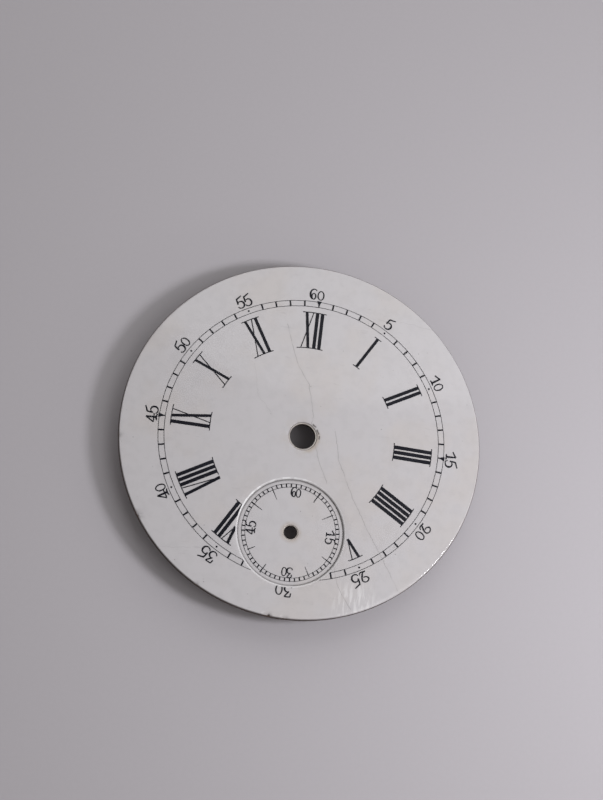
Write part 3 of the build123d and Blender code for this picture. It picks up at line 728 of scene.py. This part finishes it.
def solder_material(name, colours):
    """Soft solder gone dull: grey, lumpy, with a few bright smears and brown flux."""
    paint = Paint(name)
    cloud = paint.noise(0.9, 4.0)
    colour = paint.mix(colours.solder, colours.solder_dark, cloud.between(0.4, 0.68))
    flux = paint.noise(1.6, 3.0).between(0.55, 0.68)
    colour = paint.mix(colour, colours.flux, flux * 0.55)
    rough = 0.38 + 0.3 * cloud
    metal = 0.85 - 0.6 * flux
    return paint.finish(base_color=colour, roughness=rough, metallic=metal,
                        normal=paint.bump(paint.noise(0.3, 4.0), 0.03))


def braze_material(name, colours):
    """Brazing: dull yellow metal with dark scale."""
    paint = Paint(name)
    cloud = paint.noise(0.45, 4.0)
    colour = paint.mix(colours.braze, colours.braze_dark, cloud.between(0.42, 0.62))
    rough = 0.35 + 0.35 * cloud
    return paint.finish(base_color=colour, roughness=rough, metallic=0.8,
                        normal=paint.bump(paint.noise(0.2, 4.0), 0.02))


def table_material(name, colours):
    """A plain matt table with the faintest grain."""
    paint = Paint(name)
    grain = paint.noise(0.5, 2.0)
    colour = paint.mix(colours.table, tuple(c * 0.965 for c in colours.table), grain)
    return paint.finish(base_color=colour, roughness=0.75)


def backdrop_material(name, colours, glow):
    """A plain pale cloth, lit a little from behind."""
    paint = Paint(name)
    colour = paint.mix(colours.backdrop, colours.backdrop_dark, paint.noise(3.0, 2.0))
    return paint.finish(base_color=colour, roughness=0.9, emission_color=colours.backdrop_glow,
                        emission_strength=glow)


def lamp(name, place, power, width, colour):
    """A round area lamp that looks at the dial."""
    light = bpy.data.lights.new(name, "AREA")
    light.shape = "DISK"
    light.size = width
    light.energy = power
    light.color = colour
    shown = bpy.data.objects.new(name, light)
    bpy.context.scene.collection.objects.link(shown)
    direction = Vector(place) - Vector(LAMP_AIM)
    shown.matrix_world = Matrix.Translation(place) @ direction.to_track_quat("Z", "Y").to_matrix().to_4x4()


def staged(name, points, faces, material):
    """A plain surface of the stage."""
    mesh = bpy.data.meshes.new(name)
    mesh.from_pydata(points, [], faces)
    mesh.materials.append(material)
    shown = bpy.data.objects.new(name, mesh)
    bpy.context.scene.collection.objects.link(shown)


class WATCHDIAL_OT_front_enamel(bpy.types.Operator):
    """Builds the white front enamel with its rim, hole and bevelled opening."""

    bl_idname = "watch_dial.front_enamel"
    bl_label = "Front Enamel"

    def execute(self, context):
        shape = shape_now()
        s = shape.sizes
        rim_out = s.rim_radius - s.lip_bare
        rim_in = rim_out - s.rim_round
        hole = shape.collar_radius + s.hole_round
        bevel = s.opening_radius + s.bevel_width
        dome = HoledDome(shape, rim_in)
        edge = shape.level(shape.face, rim_in)
        lip_top = shape.level(shape.front + s.lip_rise, shape.enamel_radius)
        rim = [(rim_in, edge)] + arc((rim_in, edge - s.rim_round), s.rim_round, 90, 0, RIM_ARC_STEPS)[1:]
        rim = [(radius, max(level, lip_top)) for radius, level in rim]
        rim += [(rim_out, lip_top), (shape.enamel_radius, lip_top)]
        rim.append(shape.spot(shape.front, shape.enamel_radius))
        top = shape.level(shape.face, hole)
        centre = [shape.spot(shape.front, shape.collar_radius)]
        centre += arc((hole, top - s.hole_round), s.hole_round, 180, 90)
        ledge = shape.level(shape.face, s.opening_radius) - s.bevel_drop
        crest = shape.level(shape.face, bevel)
        share = np.linspace(0, 1, BEVEL_STEPS)
        bulge = BEVEL_BULGE * np.sin(math.pi * share)
        opening = [shape.spot(shape.front, s.opening_radius)]
        opening += list(zip(s.opening_radius + s.bevel_width * (share - bulge * share),
                            ledge + (crest - ledge) * np.minimum(share + bulge, 1)))
        surfaces = dome.sheet(shape.face, rim_in, hole, bevel, True)
        surfaces += [dome.rim_ring(rim), dome.centre_ring(centre), dome.seconds_ring(opening)]
        surfaces += dome.sheet(shape.front, shape.enamel_radius, shape.collar_radius, s.opening_radius, False)
        surfaces = [chipped(rows, shape.enamel_radius) for rows in surfaces]
        shown = piece("front_enamel", surfaces, ["dial_enamel_front"])
        material = front_enamel_material("White enamel", context.scene.watch_dial_colours, s)
        shown.data.materials.append(material)
        return {"FINISHED"}


class WATCHDIAL_OT_plate(bpy.types.Operator):
    """Builds the copper plate with its turned-up rim, collar and seat."""

    bl_idname = "watch_dial.plate"
    bl_label = "Copper Plate"

    def execute(self, context):
        shape = shape_now()
        s = shape.sizes
        dome = HoledDome(shape, shape.enamel_radius)
        lip = shape.level(shape.front + s.lip_rise, shape.enamel_radius)
        turn = s.lip_width / 3
        rim = [shape.spot(shape.front, shape.enamel_radius), (shape.enamel_radius, lip)]
        rim += arc((s.rim_radius - turn, lip - turn), turn, 90, 0) + [shape.spot(shape.back, s.rim_radius)]
        collar_top = shape.level(shape.face - s.collar_drop, s.bore_radius)
        turn = s.collar_round
        centre = [shape.spot(shape.back, s.bore_radius)]
        centre += arc((s.bore_radius + turn, collar_top - turn), turn, 180, 90)
        centre += arc((shape.collar_radius - turn, collar_top - turn), turn, 90, 0)
        centre.append(shape.spot(shape.front, shape.collar_radius))
        seat = [shape.spot(sphere, s.seat_radius) for sphere in (shape.back, shape.front)]
        surfaces = dome.sheet(shape.front, shape.enamel_radius, shape.collar_radius, s.seat_radius, True)
        surfaces += [dome.rim_ring(rim), dome.centre_ring(centre), dome.seconds_ring(seat)]
        surfaces += dome.sheet(shape.back, s.rim_radius, s.bore_radius, s.seat_radius, False)
        shown = piece("copper_plate", surfaces, ["dial_plate"])
        collar = (0, s.bore_radius / MM, shape.collar_radius / MM, collar_top / MM)
        colours = context.scene.watch_dial_colours
        shown.data.materials.append(copper_material("Fired copper", colours, collar=collar))
        return {"FINISHED"}


class WATCHDIAL_OT_seconds_disc(bpy.types.Operator):
    """Builds the enamel and the copper of the seconds disc."""

    bl_idname = "watch_dial.seconds_disc"
    bl_label = "Seconds Disc"

    def execute(self, context):
        shape = shape_now()
        s = shape.sizes
        colours = context.scene.watch_dial_colours
        angles = full_turn(RING_STEPS)
        wall = s.seconds_bore + s.seconds_wall
        turn = s.seconds_round
        radii = np.linspace(wall + turn, s.disc_radius, DISC_ROWS)
        top = [shape.spot(shape.front, r) for r in radii]
        under = [shape.spot(shape.seconds_front, r) for r in radii[:0:-1]]
        under.append(shape.spot(shape.seconds_front, wall))
        profile = top + under + arc((wall + turn, top[0][1] - turn), turn, 180, 90)
        rows = shape.swung(turned_rows(profile, angles))
        enamel = piece("seconds_enamel", [rows], ["seconds_enamel_front"])
        enamel.data.materials.append(seconds_enamel_material("Seconds enamel", colours, s))
        collar_top = shape.level(shape.front - s.seconds_drop, s.seconds_bore)
        turn = s.seconds_collar_round
        profile = [shape.spot(shape.seconds_back, s.seconds_bore)]
        profile += arc((s.seconds_bore + turn, collar_top - turn), turn, 180, 90)
        profile += arc((wall - turn, collar_top - turn), turn, 90, 0)
        profile += [shape.spot(shape.seconds_front, r) for r in np.linspace(wall, s.disc_radius, COPPER_ROWS)]
        profile += [shape.spot(shape.seconds_back, r)
                    for r in np.linspace(s.disc_radius, s.seconds_bore, COPPER_ROWS + 1)]
        rows = shape.swung(turned_rows(profile, angles))
        copper = piece("seconds_copper", [rows], ["seconds_plate"])
        swung_top = shape.level(shape.front - s.seconds_drop, s.seconds_offset)
        collar = (-s.seconds_offset / MM, s.seconds_bore / MM, wall / MM, swung_top / MM)
        copper.data.materials.append(copper_material("Seconds copper", colours, bright=0.12, collar=collar))
        return {"FINISHED"}


class WATCHDIAL_OT_back(bpy.types.Operator):
    """Builds the counter-enamels and the ring of solder on the back."""

    bl_idname = "watch_dial.back"
    bl_label = "Back"

    def execute(self, context):
        shape = shape_now()
        s = shape.sizes
        colours = context.scene.watch_dial_colours
        material = counter_material("Counter-enamel", colours)
        for name, node_name in (("counter_enamel", "dial_enamel_back"),
                                ("seconds_counter_enamel", "seconds_enamel_back")):
            smooth_copy(name, node_name).data.materials.append(material)
        angles = full_turn(RING_STEPS)
        reach = np.minimum(s.solder_width + wavy(angles, SOLDER_REACH_WAVES), s.solder_width)
        rise = np.minimum(s.solder_rise + wavy(angles, SOLDER_RISE_WAVES), s.solder_rise)
        back = shape.level(shape.back, s.seat_radius)
        front = np.full((1, RING_STEPS), shape.level(shape.front, s.seat_radius))
        shares = np.linspace(0, 1, SOLDER_ROWS)[:, None]
        radius = s.seat_radius + reach * (1 - shares)
        low = back - rise * shares ** 1.8
        radius = np.concatenate([radius, np.full((2, RING_STEPS), s.disc_radius),
                                 np.full((1, RING_STEPS), s.seat_radius), radius[:1]])
        level = np.concatenate([low, low[-1:], front, front, low[:1]])
        rows = np.stack([radius * np.cos(angles), radius * np.sin(angles), level], -1)
        rows[0, :, 2] = shape.height(shape.back, radius[0])
        rows[-1] = rows[0]
        solder = piece("solder_ring", [shape.swung(rows)], ["seconds_solder"])
        solder.data.materials.append(solder_material("Soft solder", colours))
        return {"FINISHED"}


class WATCHDIAL_OT_feet(bpy.types.Operator):
    """Builds the three copper feet and the brazing at their roots."""

    bl_idname = "watch_dial.feet"
    bl_label = "Feet"

    def execute(self, context):
        s = context.scene.watch_dial_sizes
        colours = context.scene.watch_dial_colours
        copper = copper_material("Copper wire", colours, bright=0.2)
        brass = braze_material("Brazing", colours)
        angles = full_turn(WIRE_STEPS)
        top = s.foot_length
        root = top - s.braze_height
        foot_profile = [(s.root_radius, top), (s.root_radius, root), (s.foot_radius, root)]
        foot_profile += [(s.foot_radius, z) for z in np.linspace(root - ROOT_GAP, s.tip_chamfer, FOOT_ROWS)]
        foot_profile.append((s.foot_radius - s.tip_chamfer, 0.0))
        foot_rows = turned_rows(foot_profile, angles)
        widest = s.root_radius + s.braze_width
        ring = np.minimum(widest + wavy(angles, BRAZE_WAVES), widest)
        share = np.linspace(0, 1, BRAZE_ROWS)[:, None]
        radius = ring + (s.root_radius - ring) * share
        level = np.broadcast_to(top - s.braze_height * share ** 2, radius.shape)
        radius = np.concatenate([radius, np.full((1, WIRE_STEPS), s.root_radius), radius[:1]])
        level = np.concatenate([level, np.full((2, WIRE_STEPS), top + BRAZE_SINK)])
        braze_rows = np.stack([radius * np.cos(angles), radius * np.sin(angles), level], -1)
        braze_rows = np.concatenate([braze_rows, braze_rows[:1]])
        for name in ("upper_right", "lower_right", "left"):
            low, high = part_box("dial_foot_" + name)
            middle = np.array([(low.x + high.x) / 2, (low.y + high.y) / 2, 0])
            foot = piece("foot_" + name, [foot_rows + middle], ["dial_foot_" + name])
            foot.data.materials.append(copper)
            braze = piece("braze_" + name, [braze_rows + middle], ["foot_braze_" + name])
            braze.data.materials.append(brass)
        return {"FINISHED"}


class WATCHDIAL_OT_print(bpy.types.Operator):
    """Gives the fired print of both dials its finish."""

    bl_idname = "watch_dial.print"
    bl_label = "Print"

    def execute(self, context):
        material = print_material("Fired print", context.scene.watch_dial_colours)
        for name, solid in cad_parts.items():
            if solid.hide_render:
                continue
            if not solid.material_slots:
                solid.data.materials.append(material)
            for place in solid.material_slots:
                place.material = material
        return {"FINISHED"}


class WATCHDIAL_OT_stage(bpy.types.Operator):
    """Builds the table, the backdrop, the lamps and the camera."""

    bl_idname = "watch_dial.stage"
    bl_label = "Stage"

    def execute(self, context):
        scene = context.scene
        light = scene.watch_dial_light
        colours = scene.watch_dial_colours
        corners = [(x * TABLE_HALF, y * TABLE_HALF, 0) for x, y in ((-1, -1), (1, -1), (1, 1), (-1, 1))]
        staged("table", corners, [(0, 1, 2, 3)], table_material("Table", colours))
        angles = full_turn(BACKDROP_STEPS)
        rows = turned_rows([(BACKDROP_RADIUS, BACKDROP_FOOT), (BACKDROP_RADIUS, BACKDROP_TOP)], angles)
        staged("backdrop", rows.reshape(-1, 3).tolist(), row_faces(2, len(angles), 0).tolist(),
               backdrop_material("Backdrop", colours, light.glow))
        for name, setting, place, width, colour in LAMPS:
            lamp(name, place, getattr(light, setting), width, colour)
        world = bpy.data.worlds.new("Studio")
        world.use_nodes = True
        background = world.node_tree.nodes["Background"]
        background.inputs["Color"].default_value = (*FILL_COLOUR, 1)
        background.inputs["Strength"].default_value = light.fill
        scene.world = world
        axis = Vector(CAMERA_AXIS).normalized()
        up = Vector(CAMERA_UP)
        up = (up - axis * up.dot(axis)).normalized()
        turn = Matrix((axis.cross(up), up, -axis)).transposed()
        lens = bpy.data.cameras.new("camera")
        lens.sensor_width = SENSOR_HEIGHT
        lens.lens = FOCAL_LENGTH / PICTURE_HEIGHT * SENSOR_HEIGHT
        lens.clip_start = NEAREST_SEEN
        camera = bpy.data.objects.new("camera", lens)
        scene.collection.objects.link(camera)
        camera.matrix_world = Matrix.Translation(CAMERA_PLACE) @ turn.to_4x4()
        scene.camera = camera
        scene.view_settings.view_transform = "Standard"
        return {"FINISHED"}


class WATCHDIAL_PT_panel(bpy.types.Panel):
    """Lists the steps that build the dial."""

    bl_idname = "WATCHDIAL_PT_panel"
    bl_label = "Watch Dial"
    bl_space_type = "VIEW_3D"
    bl_region_type = "UI"
    bl_category = "Watch Dial"

    def draw(self, context):
        for step in STEPS:
            self.layout.operator(step.bl_idname)


STEPS = (
    WATCHDIAL_OT_front_enamel,
    WATCHDIAL_OT_plate,
    WATCHDIAL_OT_seconds_disc,
    WATCHDIAL_OT_back,
    WATCHDIAL_OT_feet,
    WATCHDIAL_OT_print,
    WATCHDIAL_OT_stage,
)
SETTINGS = (
    ("watch_dial_sizes", DialSizes),
    ("watch_dial_colours", DialColours),
    ("watch_dial_light", StageLight),
)


def register():
    """Registers the settings, the steps and the panel."""
    for name, group in SETTINGS:
        bpy.utils.register_class(group)
        setattr(bpy.types.Scene, name, PointerProperty(type=group))
    for step in (*STEPS, WATCHDIAL_PT_panel):
        bpy.utils.register_class(step)


def unregister():
    """Takes them all away again."""
    for step in (WATCHDIAL_PT_panel, *reversed(STEPS)):
        bpy.utils.unregister_class(step)
    for name, group in reversed(SETTINGS):
        delattr(bpy.types.Scene, name)
        bpy.utils.unregister_class(group)


def main():
    """Builds every piece and the stage."""
    register()
    for step in STEPS:
        group, name = step.bl_idname.split(".")
        getattr(getattr(bpy.ops, group), name)()


if __name__ == "__main__":
    main()
